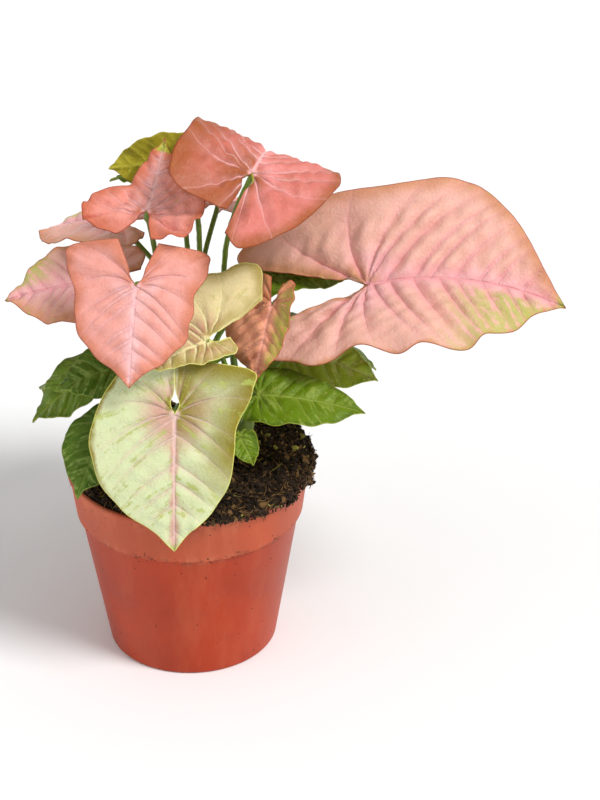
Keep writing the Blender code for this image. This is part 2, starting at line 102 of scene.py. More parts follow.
@dataclass
class Leaf:
    """One blade: lengths in millimetres, angles in degrees, shares of the blade's length.

    A pair may be given as one number, which then holds for both halves.
    """

    shoot: int  # the stem that carries it
    look: str  # its colouring
    joint: tuple  # where the stalk meets the blade
    heading: float  # of the tip, seen from above: 0 is +X, 90 is +Y
    pitch: float  # of the tip above the horizon
    roll: float  # lifts the left half and lowers the right
    length: float  # from the joint to the tip, along the midrib
    width: Pair = 0.46  # of each half, as a share
    lobe: Pair = 0.62  # from the joint to the end of each lobe, as a share
    spread: Pair = 34  # of each lobe from the midrib's line
    notch: Pair = 0.4  # where a lobe's inner side ends, as a share of that angle
    fold: Pair = 12  # each half rises this much at the midrib
    cup: Pair = -18  # what the fold gains on its way to the margin
    arch: float = 24  # the midrib's whole downward bend
    droop: float = 14  # the lobes' whole downward bend
    sweep: float = 0  # the midrib bows to the left by this
    wave: float = 1.6  # height of the margin's long waves
    full: float = 0  # widens the half towards the tip, or narrows it below 0
    veins: int = 6  # side veins of each half between the joint and the tip
    quilt: float = 0.5  # how much the tissue swells between the side veins
    ruffle: Pair = 0.5  # height of the margin's short waves
    scallop: Pair = 0.4  # how far the margin's scallops stand out
    hole: float = 2  # how far the lobes stand apart close to the joint

    def __post_init__(self):
        for name, kind in type(self).__annotations__.items():
            value = getattr(self, name)
            if kind is Pair and not isinstance(value, tuple):
                setattr(self, name, (value, value))


LEAVES = {
    # The leaves that face the front
    "leaf_broad_right": Leaf(
        2, "salmon", (87, 5, 191), -9, -3, 47, 95, (0.52, 0.42), (0.84, 0.56), (26, 32),
        (0.8, 0.6), (8, 30), (-14, -22), 26, 10, 15, 2.4, 0.1, veins=9, quilt=1.5,
        ruffle=(0.6, 1.2), scallop=(0.5, 3.2), hole=7),
    "leaf_top": Leaf(
        2, "coral", (33, 5, 248), 86, -20, 22, 60, (0.60, 0.64), (0.66, 0.76), (48, 14),
        (0.12, 0.1), (9, 10), (-4, -10), 80, 10, veins=7, quilt=1.7, scallop=0.2, hole=5),
    "leaf_upper_left": Leaf(
        3, "blush", (-16, -2, 232), 78, 34, 0, 42, (0.66, 0.70), 0.66, (68, 50), 0.4, (0, 4),
        (6, 24), -26, 10, full=-0.6, quilt=1.8, ruffle=(1.5, 1.8)),
    "leaf_pink_front": Leaf(
        1, "rose", (-20, -30, 207), -98, -62, 0, 47, (0.58, 0.62), (0.74, 0.80), (60, 62), 0.4,
        -4, -8, 14, -8, quilt=1, scallop=0.8),
    "leaf_pale_front": Leaf(
        1, "mint", (-3, -46, 149), -92, -70, 0, 65, (0.44, 0.60), (0.62, 0.48), (58, 38), 0, 5,
        -10, 14, -12, quilt=0.7, ruffle=(1, 0.5), hole=4),
    "leaf_cream": Leaf(
        5, "cream", (12, -34, 181), 200, -20, 0, 36, (0.30, 0.72), (0.40, 1.15), (34, 36), 0.4,
        (-40, 62), (-10, 10), 10, 4, full=-0.6, quilt=1.5, ruffle=(0.5, 0.8)),
    "leaf_folded": Leaf(
        2, "bronze", (42, -14, 190), -112, -56, 0, 38, (0.40, 0.66), (0.40, 0.56), (40, 50),
        0.4, (30, -16), (0, -10), 16, 8, quilt=2.4, ruffle=(1.2, 1.8)),
    # its look is green painted lighter: painted light on a leaf that lies in shade
    "leaf_green_right": Leaf(2, "fresh", (49, 10, 155), -10, -17, 30, 47, (0.34, 0.38), 0.4),
    "leaf_green_low": Leaf(5, "green", (36, -23, 147), -6, -8, 27, 51, (0.30, 0.34), 0.3),
    "leaf_olive": Leaf(
        4, "olive", (-2, 34, 242), 178, -6, 88, 35, 0.42, 0.5, quilt=0.9, ruffle=0.9),
    "leaf_back_green": Leaf(3, "green", (-12, 49, 231), 190, -6, -10, 26, 0.36, 0.3),
    "leaf_dark_left": Leaf(3, "dark", (-27, -18, 160), 196, -14, -26, 36, 0.4, 0.4),
    "leaf_dark_front": Leaf(1, "dark", (-36, -30, 134), -120, -44, 0, 38, 0.46, 0.4),
    "leaf_grey_front": Leaf(1, "grey", (-14, -34, 126), -109, -44, 0, 38, (0.5, 0.46), 0.34),
    "leaf_small_front": Leaf(5, "green", (26, -40, 134), -60, -30, 0, 17, 0.46, 0.3, veins=4),
    "leaf_under_broad": Leaf(2, "green", (42, 32, 182), 0, 0, 10, 38, 0.4, 0.4),
    # The leaves of the sides and the back
    "leaf_left": Leaf(3, "salmon", (-42, 4, 193), 176, -14, -34, 46, ruffle=1),
    "leaf_left_low": Leaf(3, "green", (-44, 2, 146), 194, -36, -10, 40, lobe=0.4),
    "leaf_back_left": Leaf(
        4, "salmon", (-36, 60, 201), 138, -22, -10, 60, lobe=0.54, veins=7, quilt=0.9, ruffle=0.9),
    "leaf_back": Leaf(
        4, "rose", (14, 68, 207), 80, -26, 0, 70, lobe=0.54, veins=8, quilt=0.9, ruffle=1),
    "leaf_back_right": Leaf(
        4, "coral", (56, 56, 190), 42, -26, 10, 62, lobe=(0.5, 0.45), veins=7, quilt=0.9,
        ruffle=0.8),
    "leaf_back_low": Leaf(4, "mint", (-6, 54, 150), 104, -46, 0, 60, lobe=0.5),
    "leaf_back_left_low": Leaf(3, "green", (-44, 32, 140), 150, -40, 0, 50, lobe=0.4),
    "leaf_back_right_low": Leaf(4, "green", (58, 40, 148), 26, -36, 0, 50, lobe=0.4),
}

# The form of a blade, as its solid has it
SPINE = (1, 0.84, 0.58, 0.30, 0.08, 0, 0, 0)  # where the rib of each outline point leaves
LAST_PLACE = len(SPINE) - 1
LOBE_BEND = 0.6  # the share of the length over which a lobe makes its whole bend
RIB_BOW = 0.07  # the ribs bow back by this share of the length
BLADE_THICKNESS = 0.8
STALK_RADIUS = 1.4
STALK_GAP = 0.35
STALK_LEAN = 35  # of a stalk's end from the blade's normal

# The side veins: one that leaves the midrib runs out and forward, and bends on to the tip
VEIN_SLANT = 0.5
VEIN_BEND = 0.8
VEIN_FAN = math.radians(27)  # between the veins that run into a lobe

# The margin's scallops, counted in places: the length of one, and where one stands out the most
SCALLOP_LENGTH = 1.05
SCALLOP_PLACE = 3.7

# The fine relief, in millimetres: its height or depth, and its half width where it has one
RIB = (0.3, 0.6)
CHANNEL = (0.2, 0.5)
MIDRIB_CHANNEL = (0.2, 0.8)
KEEL_HEIGHT = (0.2, 1.3)  # at the tip and at the joint
KEEL_WIDTH = 1.3
PUCKERS = 7
PUCKER_HEIGHT = 0.16
PUCKER_LENGTH = (6, 14)
SHORT_WAVES = ((6, 1), (11, 0.4), (17, 0.2))  # how many round a half, and their share of ruffle


def outline(leaf, half):
    """The points of one half's margin, from the tip round the lobe to the sinus, as shares."""
    width, lobe, full = leaf.width[half], leaf.lobe[half], leaf.full
    spread = math.radians(leaf.spread[half])
    shoulder = Vector((0.12, width))
    lobe_end = lobe * Vector((-math.cos(spread), math.sin(spread)))
    flank = shoulder.lerp(lobe_end, 0.58)
    flank += 0.12 * lobe * Vector((-math.sin(spread / 2), math.cos(spread / 2)))
    inner = leaf.notch[half] * spread
    sinus = lobe * (0.95 - 0.3 * spread) * Vector((-math.cos(inner), math.sin(inner)))
    return [
        Vector((1, 0)),
        Vector((0.87, 0.22 * (1 + full) * width)),
        Vector((0.68, (0.66 + 0.6 * full) * width)),
        Vector((0.42, (0.94 + 0.8 * full) * width)),
        shoulder,
        flank,
        lobe_end,
        sinus,
    ]


def through(points, place):
    """The points at many places, counted in points, on a smooth curve through a few points."""
    points = np.array(points, float)
    last = len(points) - 1
    start = np.minimum(place.astype(int), last - 1)
    u = (place - start)[:, None]
    a, b, c, d = (points[np.clip(start + step, 0, last)] for step in (-1, 0, 1, 2))
    return 0.5 * (2 * b + (c - a) * u + (2 * a - 5 * b + 4 * c - d) * u**2
                  + (3 * b - a - 3 * c + d) * u**3)


def arc(slope, turn, distance):
    """How far an arc gets along and up, and its last slope."""
    last = slope + turn * distance
    turn = np.where(np.abs(turn) < 1e-6, 1e-6, turn)
    along = (np.sin(last) - np.sin(slope)) / turn
    return along, (np.cos(slope) - np.cos(last)) / turn, last


def bell(distance, width):
    """1 at no distance, and falling smoothly to nothing past a few widths."""
    return np.exp(-(distance / width) ** 2)


def vein_turn(veins, along, across):
    """A point's place among the side veins, counted in veins from the joint, below 0 in a lobe."""
    forward = along - VEIN_BEND * across**2
    start = forward - VEIN_SLANT * across
    angle = np.arctan2(across + 1e-6, forward)
    fan = (math.atan2(1, VEIN_SLANT) - angle) / VEIN_FAN
    return np.where(start > 0, veins * start, fan)


class HalfBlade:
    """One half of a blade as a grid: ribs from the tip to the sinus, steps out to the margin."""

    def __init__(self, leaf, half, ribs, steps, draw):
        self.leaf, self.half = leaf, half
        self.side = 1 if half == 0 else -1
        self.place = np.linspace(0, LAST_PLACE, ribs)[:, None]
        self.step = np.linspace(0, 1, steps)[None, :]
        self.rim = np.maximum(self.step, np.clip(1 - self.place, 0, 1))
        self.margin = self.scalloped(through(outline(leaf, half), self.place[:, 0]))
        self.lay_flat()
        self.find_veins(draw)
        self.curve(draw)

    def scalloped(self, margin):
        """The margin with scallops that fade out towards the tip and the lobe's end."""
        turn = math.tau * (self.place - SCALLOP_PLACE) / SCALLOP_LENGTH
        fading = np.sin(math.pi * np.clip((self.place - 1) / 4.8, 0, 1))
        self.scallops = self.leaf.scallop[self.half] * np.cos(turn) * fading
        outward = margin / np.linalg.norm(margin, axis=1, keepdims=True)
        return margin + self.scallops / self.leaf.length * outward

    def lay_flat(self):
        """The flat half, as shares: along the midrib and out from it."""
        leaf, place, step = self.leaf, self.place, self.step
        spine = np.maximum(0, through([[x] for x in SPINE], place[:, 0]))
        bow = np.minimum(1, place) * np.maximum(0, 1 - place / 5)
        self.along = spine + (self.margin[:, :1] - spine) * step
        self.along -= RIB_BOW * 4 * step * (1 - step) * bow
        self.across = np.maximum(0, self.margin[:, 1:] * step)
        near_sinus = np.clip((place - 5) / 2, 0, 1) ** 2
        behind = -self.along * leaf.length
        apart = bell(behind - 3 - 0.5 * leaf.hole, 2.5 + 0.4 * leaf.hole)
        apart = apart * np.clip(step / 0.1, 0, 1)
        self.across = self.across + near_sinus * apart * 0.5 * leaf.hole / leaf.length

    def find_veins(self, draw):
        """Each point's place among the side veins, and the veins' spacing there in millimetres."""
        leaf = self.leaf
        shift, phase = draw.uniform(-0.2, 0.2), draw.uniform(0, math.tau)

        def turn_at(along, across):
            turn = vein_turn(leaf.veins, along, across)
            return turn + shift + 0.16 * np.sin(2.2 * turn + phase)

        self.turn = turn_at(self.along, self.across)
        small = 1e-4
        steep = np.hypot(turn_at(self.along + small, self.across) - self.turn,
                         turn_at(self.along, self.across + small) - self.turn) / small
        self.gap = np.clip(leaf.length / np.maximum(steep, 1e-3), 0, 14)
        self.from_vein = np.abs(self.turn - np.round(self.turn)) * self.gap

    def relief(self, draw):
        """How far the thin tissue swells out between the veins, in millimetres."""
        swells = np.array([draw.uniform(0.7, 1.2) for _ in range(40)])
        swell = swells[np.floor(self.turn).astype(int) % len(swells)]
        share = self.turn - np.floor(self.turn)
        pillow = 1 - np.abs(2 * share - 1) ** 2.2
        forward, out = self.leaf.length * self.along, self.leaf.length * self.across
        pucker = 0 * out
        for _ in range(PUCKERS):
            angle, length = draw.uniform(0, math.tau), draw.uniform(*PUCKER_LENGTH)
            run = forward * math.cos(angle) + out * math.sin(angle)
            pucker += np.sin(math.tau * run / length + draw.uniform(0, math.tau))
        calm = 0.9 * np.clip((self.rim - 0.6) / 0.4, 0, 1)
        envelope = np.clip(out / 4, 0, 1) ** 0.8 * (1 - calm)
        height = 0.15 * self.gap * (swell * pillow - 0.5) + PUCKER_HEIGHT * pucker
        return self.leaf.quilt * height * envelope

    def waves(self, draw):
        """The height of the margin's waves, long and short, in millimetres."""
        place, step, leaf = self.place, self.step, self.leaf
        turn = math.tau * place / LAST_PLACE
        wave = leaf.wave * step**2 * np.sin(2 * turn + 0.3 * math.tau * self.half)
        for count, share in SHORT_WAVES:
            wave = wave + share * leaf.ruffle[self.half] * step**3 * np.sin(
                count * turn + draw.uniform(0, math.tau))
        return wave * np.minimum(1, place) - self.scallops * step**4

    def curve(self, draw):
        """The half's surface in the leaf's own frame, and the direction that it faces."""
        leaf, half = self.leaf, self.half
        out = self.across / leaf.width[half]
        rise = np.radians(leaf.fold[half] + 0.5 * leaf.cup[half] * out)
        y = self.side * leaf.length * self.across * np.cos(rise)
        z = leaf.length * self.across * np.sin(rise) + self.waves(draw) + self.relief(draw)
        bowed = np.where(self.along > 0, self.along * (1 - self.along), self.along)
        y = y + leaf.length * math.tan(math.radians(leaf.sweep)) * bowed

        arch, lobe_arch = math.radians(leaf.arch), math.radians(leaf.droop) / LOBE_BEND
        bend = np.where(self.along > 0, arch, lobe_arch) / leaf.length
        forward, up, slope = arc(arch / 2, -bend, self.along * leaf.length)
        self.points = np.stack([forward - z * np.sin(slope), y, up + z * np.cos(slope)], axis=-1)

        facing = self.side * np.cross(np.gradient(self.points, axis=1),
                                      np.gradient(self.points, axis=0))
        facing /= np.linalg.norm(facing, axis=-1, keepdims=True) + 1e-9
        middle = np.stack([-np.sin(slope), 0 * slope, np.cos(slope)], axis=-1)
        facing[:, 0] = middle[:, 0]
        facing[0] = middle[0]
        self.facing = facing

    def edge_distance(self):
        """How far each point is from the margin or the lobe's inner side, in millimetres."""
        inner = np.stack([self.along[-1], self.across[-1]], axis=-1)
        rim = np.vstack([self.margin, inner])
        flat = np.stack([self.along, self.across], axis=-1)
        gaps = np.linalg.norm(flat[:, :, None] - rim[None, None], axis=-1)
        return self.leaf.length * gaps.min(axis=-1)

    def sides(self):
        """The points of the top and of the underside, with the ribs that stand out below."""
        leaf = self.leaf
        out = leaf.length * self.across
        thick = 0.36 * BLADE_THICKNESS * (1 - 0.45 * self.rim**3)
        clear = (1 - bell(out, 1)) * (1 - 0.8 * self.rim) * np.clip(self.gap / 3, 0, 1)
        rib, channel = (height * clear * bell(self.from_vein, width)
                        for height, width in (RIB, CHANNEL))
        depth, width = MIDRIB_CHANNEL
        channel += depth * bell(out, width) * (1 - self.rim**4)
        taper = (1 - np.clip(self.along, 0, 1)) ** 3
        behind = bell(leaf.length * np.minimum(self.along, 0), 5)
        thin, full = KEEL_HEIGHT
        keel = (thin + (full - thin) * taper) * behind * bell(out, KEEL_WIDTH)
        top = self.points + self.facing * (thick - channel)[..., None]
        low = self.points - self.facing * (thick + keel + rib)[..., None]
        return top, low


def grid_faces(first, ribs, steps, flip):
    """The triangles of a grid of points that starts at an index."""
    index = first + np.arange(ribs * steps).reshape(ribs, steps)
    a, b = index[:-1, :-1].ravel(), index[:-1, 1:].ravel()
    c, d = index[1:, 1:].ravel(), index[1:, :-1].ravel()
    corners = np.concatenate([np.stack([a, b, c], 1), np.stack([a, c, d], 1)])
    return corners[:, ::-1] if flip else corners


def rim_faces(first_top, first_low, ribs, steps, flip):
    """The triangles of the thin edge, round the margin and in along the sinus."""
    path = [rib * steps + steps - 1 for rib in range(ribs)]
    path += [(ribs - 1) * steps + step for step in range(steps - 2, -1, -1)]
    path = np.array(path)
    top, low = first_top + path, first_low + path
    corners = np.concatenate([
        np.stack([top[:-1], low[:-1], low[1:]], 1),
        np.stack([top[:-1], low[1:], top[1:]], 1),
    ])
    return corners[:, ::-1] if flip else corners


def blade_place(leaf):
    """The matrix that takes a blade, in millimetres about its joint, to its place in metres."""
    turn = Matrix.Rotation(math.radians(leaf.heading), 4, "Z")
    tilt = Matrix.Rotation(math.radians(-leaf.pitch), 4, "Y")
    roll = Matrix.Rotation(math.radians(leaf.roll), 4, "X")
    return Matrix.Translation(MM * Vector(leaf.joint)) @ turn @ tilt @ roll @ Matrix.Scale(MM, 4)


def blade_mesh(name, leaf, detail):
    """A closed thin blade, with what its shader reads kept at the faces' corners."""
    draw = random.Random(name)
    ribs = int(np.clip(1.9 * leaf.length, 64, 150) * detail)
    steps = int(np.clip(0.5 * leaf.length, 18, 40) * detail)
    count = ribs * steps
    points, corners, under = [], [], []
    kept = {"blade": [], "vein": [], "edge": []}
    for half in (0, 1):
        grid = HalfBlade(leaf, half, ribs, steps, draw)
        points += grid.sides()
        flat = np.stack([leaf.length * grid.along, grid.side * leaf.length * grid.across,
                         grid.along], axis=-1)
        vein = np.stack([grid.turn, grid.gap, grid.step + 0 * grid.gap], axis=-1)
        for key, values in zip(kept, (flat, vein, grid.edge_distance())):
            kept[key] += [values, values]
        first, flip = 2 * half * count, half == 1
        faces = [
            grid_faces(first, ribs, steps, flip),
            grid_faces(first + count, ribs, steps, not flip),
            rim_faces(first, first + count, ribs, steps, flip),
        ]
        corners += faces
        under += [np.full(len(group), place) for group, place in zip(faces, (0, 1, 0))]
    corners, under = np.concatenate(corners), np.concatenate(under)

    spots = np.round(np.concatenate([side.reshape(-1, 3) for side in points]), 4) + 0.0
    spots, joined = np.unique(spots, axis=0, return_inverse=True)
    merged = joined.ravel()[corners]
    sound = ((merged[:, 0] != merged[:, 1]) & (merged[:, 1] != merged[:, 2])
             & (merged[:, 0] != merged[:, 2]))
    corners, merged, under = corners[sound], merged[sound], under[sound]

    place = np.array(blade_place(leaf))
    mesh = bpy.data.meshes.new(name)
    mesh.from_pydata((spots @ place[:3, :3].T + place[:3, 3]).tolist(), [], merged.tolist())
    mesh.polygons.foreach_set("material_index", under)
    mesh.shade_smooth()
    for key, groups in kept.items():
        shape = (-1, 3) if groups[0].ndim == 3 else (-1,)
        values = np.concatenate([group.reshape(shape) for group in groups])[corners.ravel()]
        store(mesh, key, values, "CORNER")
        if key == "blade":
            add_blade_map(mesh, values, np.repeat(under, 3))
    mesh.update()
    return mesh


def store(mesh, name, values, domain):
    """Keeps numbers or vectors on a mesh, for its shader."""
    kind, field = ("FLOAT_VECTOR", "vector") if values.ndim == 2 else ("FLOAT", "value")
    layer = mesh.attributes.new(name, kind, domain)
    layer.data.foreach_set(field, values.astype(np.float32).ravel())


def add_blade_map(mesh, flat, under):
    """A flat map of the blade: the top on the left of the square, the underside on the right."""
    low, high = flat.min(axis=0), flat.max(axis=0)
    size = max((high - low)[0], 2 * (high - low)[1])
    spot = 0.98 * (flat[:, 1::-1] - low[1::-1]) / size + 0.005
    spot[:, 0] += 0.5 * under
    layer = mesh.uv_layers.new(name="OFBake")
    layer.data.foreach_set("uv", spot.astype(np.float32).ravel())


def maths(operation, reflected=False):
    """A method that puts a Math node on an expression and the other values."""

    def method(self, *others):
        values = (*others, self) if reflected else (self, *others)
        return self.node("Math", {"operation": operation}, dict(enumerate(values)))

    return method


class Shade:
    """A socket of a material's nodes that takes part in Python expressions."""

    def __init__(self, tree, socket=None):
        self.tree, self.socket = tree, socket

    def node(self, kind, settings=None, inputs=None, output=0):
        """A new node's output, after its settings and then its sockets' values or links."""
        made = self.tree.nodes.new("ShaderNode" + kind)
        for name, value in (settings or {}).items():
            setattr(made, name, value)
        for key, value in (inputs or {}).items():
            if isinstance(value, Shade):
                self.tree.links.new(value.socket, made.inputs[key])
            else:
                made.inputs[key].default_value = value
        return Shade(self.tree, made.outputs[output])

    __add__ = __radd__ = maths("ADD")
    __sub__, __rsub__ = maths("SUBTRACT"), maths("SUBTRACT", reflected=True)
    __mul__ = __rmul__ = maths("MULTIPLY")
    __truediv__, __rtruediv__ = maths("DIVIDE"), maths("DIVIDE", reflected=True)
    __pow__, __abs__, __round__ = maths("POWER"), maths("ABSOLUTE"), maths("ROUND")
    least, most = maths("MINIMUM"), maths("MAXIMUM")

    def ramp(self, low, high):
        """0 up to low, 1 from high, and a smooth way between; low may be the larger one."""
        if low > high:
            return 1 - self.ramp(high, low)
        return self.node("MapRange", {"interpolation_type": "SMOOTHSTEP"},
                         {"Value": self, "From Min": low, "From Max": high})

    def blend(self, plain, other):
        """A colour that goes from plain to other as this mask goes from 0 to 1."""
        colours = {6: plain, 7: other}
        for key, colour in colours.items():
            if not isinstance(colour, Shade):
                colours[key] = (*colour[:3], 1)
        return self.node("Mix", {"data_type": "RGBA"}, {0: self, **colours}, 2)

    def parts(self):
        """The three numbers of a vector."""
        split = self.node("SeparateXYZ", None, {0: self}).socket.node
        return [Shade(self.tree, output) for output in split.outputs]

    def scaled(self, *scale):
        return self.node("Mapping", None, {"Vector": self, "Scale": scale})

    def attribute(self, name, output):
        return self.node("Attribute", {"attribute_name": name}, output=output)

    def position(self):
        return self.node("TexCoord", output="Object")

    def noise(self, scale, detail=3, roughness=0.55, where=None):
        """Cloudy noise from 0 to 1, with features of about 1 / scale of where's unit."""
        return self.node("TexNoise", None, {"Vector": where or self.position(), "Scale": scale,
                                            "Detail": detail, "Roughness": roughness})

    def cells(self, scale, feature="F1", where=None, output="Distance"):
        return self.node("TexVoronoi", {"feature": feature},
                         {"Vector": where or self.position(), "Scale": scale}, output)

    def bump(self, distance, strength=1):
        return self.node("Bump", None, {"Height": self, "Distance": distance,
                                        "Strength": strength})


def new_finish(name, constants=None):
    """A material with its shader, and a start for expressions in its nodes."""
    finish = bpy.data.materials.new(name)
    finish.use_nodes = True
    shader = finish.node_tree.nodes["Principled BSDF"]
    for socket, value in (constants or {}).items():
        shader.inputs[socket].default_value = value
    return finish, shader, Shade(finish.node_tree)


def wire(shader, socket, value):
    """Gives a shader's socket an expression's result."""
    shader.id_data.links.new(value.socket, shader.inputs[socket])


def dimmed(colour, share):
    return [share * channel for channel in colour]


@dataclass
class Look:
    """A colouring of blades, in display values."""

    heart: tuple  # near the joint and the midrib
    tissue: tuple
    outer: tuple  # towards the margin
    vein: tuple
    edge: tuple  # the thin line round the margin
    fleck: tuple  # the mottling's colour, and the tip's
    under: tuple
    heart_size: tuple = (3, 6)  # its reach from the midrib and from the joint, in millimetres
    band: tuple = (3, 3)  # how far in the outer colour reaches, on the left and the right
    flecks: float = 0.5  # how much of the blade is mottled
    flecked_side: int = 0  # 1 or -1 where only the left or the right half is mottled
    flecked_from: float = 0.3  # where on its way to the tip such a half's mottling starts
    vein_strength: float = 0.35
    band_end: float = 2  # where on its way to the tip the outer colour has faded
    tip: float = 0.93  # where the tip's colour starts


LOOKS = {
    "salmon": Look(
        (236, 178, 178), (230, 178, 162), (206, 146, 110), (240, 168, 170), (156, 80, 56),
        (172, 186, 80), (190, 140, 100), (11, 24), (10, 3), 0.8, -1, vein_strength=0.7),
    "coral": Look(
        (238, 150, 146), (212, 122, 110), (164, 88, 46), (248, 188, 184), (142, 70, 46),
        (170, 186, 56), (166, 162, 62), (6, 18), (28, 8), 0.1, vein_strength=0.7),
    "rose": Look(
        (246, 190, 188), (234, 164, 152), (208, 128, 100), (250, 192, 192), (176, 100, 80),
        (208, 142, 94), (184, 148, 90), (7, 14), (8, 8), 0.1),
    "blush": Look(
        (242, 176, 170), (232, 150, 136), (204, 114, 84), (248, 192, 188), (176, 84, 62),
        (176, 190, 60), (178, 160, 80), (7, 14), (8, 8), 0.1, vein_strength=0.5, tip=0.8),
    "mint": Look(
        (208, 164, 146), (210, 218, 172), (140, 128, 30), (234, 198, 188), (224, 222, 120),
        (176, 190, 96), (138, 158, 76), (3, 22), (22, 3), 0.4, band_end=0.75),
    "cream": Look(
        (190, 140, 112), (218, 200, 150), (172, 152, 84), (242, 228, 170), (236, 232, 140),
        (184, 182, 86), (132, 160, 50), (0, 16), (9, 7), 0.3, vein_strength=0.7),
    "bronze": Look(
        (250, 172, 146), (240, 166, 130), (188, 122, 80), (250, 176, 154), (190, 96, 74),
        (156, 164, 60), (164, 140, 66), (4, 8), (6, 8), 0.9, 1, -0.4, vein_strength=0.5),
    "green": Look(
        (116, 140, 30), (98, 126, 10), (76, 102, 6), (140, 160, 62), (142, 156, 46),
        (142, 160, 68), (144, 162, 62)),
    # green painted lighter: painted light for a leaf that lies in shade
    "fresh": Look(
        (160, 180, 66), (142, 168, 38), (112, 142, 20), (184, 200, 112), (176, 190, 90),
        (182, 196, 104), (144, 162, 62)),
    "olive": Look(
        (166, 158, 40), (158, 150, 28), (136, 128, 18), (184, 176, 60), (160, 152, 40),
        (104, 112, 18), (162, 152, 36), flecks=0.4, vein_strength=0.4),
    "dark": Look(
        (98, 126, 34), (80, 110, 18), (60, 90, 8), (122, 146, 60), (120, 140, 48),
        (136, 156, 74), (98, 122, 50), flecks=0.55),
    "grey": Look(
        (150, 148, 90), (134, 138, 74), (104, 114, 40), (176, 170, 126), (150, 154, 80),
        (92, 110, 34), (130, 142, 78), (3, 8), vein_strength=0.4),
}


class BladeSpot:
    """Where a point is on its blade, from what the blade's mesh keeps, in millimetres."""

    def __init__(self, start):
        self.flat = start.attribute("blade", "Vector")
        self.x, self.y, self.along = self.flat.parts()
        self.vein = start.attribute("vein", "Vector")
        turn, self.gap, self.step = self.vein.parts()
        self.from_vein = abs(turn - round(turn)) * self.gap
        self.from_midrib = abs(self.y) + (0 - self.x).most(0)
        self.open_tissue = self.gap.ramp(1, 4)
        self.net = start.cells(0.42, "DISTANCE_TO_EDGE", where=self.flat).ramp(0, 0.2)


def new_blade_finish(name, settings, constants=None):
    """A material for thin tissue that lets some light through."""
    return new_finish(name, {
        "Subsurface Weight": settings.glow,
        "Subsurface Radius": (1.0, 0.5, 0.3),
        "Subsurface Scale": 1.2 * MM,
        "Specular IOR Level": 0.2,
        **(constants or {}),
    })


def blade_finish(name, look, settings):
    """The top of a blade: tissue, veins, edge, green tip and mottling."""
    shades = {key: display(*getattr(look, key)) for key in
              ("heart", "tissue", "outer", "vein", "edge", "fleck")}
    finish, shader, start = new_blade_finish(name, settings)
    at = BladeSpot(start)
    edge = start.attribute("edge", "Fac")
    clouds = start.noise(110, 4)
    patchy = start.noise(190, 5, 0.7)
    grain = start.noise(0.9, 3, where=at.flat)
    streaks = start.noise(1, 4, 0.6, where=at.vein.scaled(3.2, 0, 1.4))

    joint = (at.x * at.x + at.y * at.y) ** 0.5
    fading = 1 - 0.75 * at.step.ramp(0.2, 1)
    veins = (at.from_vein / (1.1 - 0.7 * at.step)).ramp(1, 0.25) * at.open_tissue * fading
    halo = (at.from_vein / at.gap).ramp(0.42, 0.05) * at.open_tissue * fading
    midrib = (at.from_midrib / (1.25 - 0.85 * at.along)).ramp(1.1, 0.5)

    reach, radius = look.heart_size
    cloudy = 9 * (clouds - 0.5)
    heart = (joint + cloudy).ramp(radius, 0.3 * radius)
    if reach:
        heart = heart.most((at.from_midrib + cloudy).ramp(reach, 0))
    colour = heart.blend(shades["tissue"], shades["heart"])
    short_of_tip = at.along.ramp(look.band_end, look.band_end - 0.5)
    for side, band in zip((1, -1), look.band):
        zone = (edge + 8 * (clouds - 0.5)).ramp(band, 0) * (side * at.y).ramp(0, 2)
        colour = (zone * short_of_tip).blend(colour, shades["outer"])
    colour = (0.35 * (streaks + patchy - 1).ramp(0, 0.35)).blend(colour, shades["outer"])

    fewest = 0.66 - 0.28 * look.flecks
    mottled = (0.6 * streaks + 0.4 * patchy).ramp(fewest, fewest + 0.06)
    if look.flecked_side:
        mottled = mottled * (look.flecked_side * at.y).ramp(2, 8)
        mottled = mottled * at.along.ramp(look.flecked_from, look.flecked_from + 0.4)
    colour = (0.75 * mottled).blend(colour, shades["fleck"])

    colour = (0.45 * look.vein_strength * halo).blend(colour, shades["vein"])
    colour = (look.vein_strength * veins).blend(colour, shades["vein"])
    colour = (0.9 * midrib).most(joint.ramp(3.6, 1)).blend(colour, shades["vein"])
    corners = look.flecks * edge.ramp(4, 1) * patchy.ramp(0.6, 0.68)
    tip = 0.85 * at.along.ramp(look.tip, look.tip + 0.05)
    colour = corners.most(tip).blend(colour, shades["fleck"])
    colour = (0.85 * (edge + 0.5 * (grain - 0.5)).ramp(0.55, 0.2)).blend(colour, shades["edge"])
    wire(shader, "Base Color", colour)
    wire(shader, "Roughness", settings.roughness + 0.16 * (grain - 0.5) - 0.06 * veins)

    height = 0.5 * at.net + 0.35 * grain + 0.9 * patchy - 1.4 * veins - 2.4 * halo - 1.2 * midrib
    wire(shader, "Normal", height.bump(0.22 * MM, 1))
    return finish


def underside_finish(name, look, settings):
    """The underside of a blade: paler and duller, with its ribs."""
    under = display(*look.under)
    finish, shader, start = new_blade_finish(name, settings, {"Roughness": 0.55})
    at = BladeSpot(start)
    veins = at.from_vein.ramp(1, 0.25) * at.open_tissue
    midrib = (at.from_midrib / (1.6 - 1.1 * at.along)).ramp(1.1, 0.5)
    colour = start.noise(120, 4).ramp(0.35, 0.65).blend(dimmed(under, 0.75), under)
    colour = (0.4 * veins).most(0.8 * midrib).blend(colour, display(*look.vein))
    wire(shader, "Base Color", colour)
    height = start.noise(1.1, 3, where=at.flat) - at.net
    wire(shader, "Normal", height.bump(0.16 * MM, 0.7))
    return finish


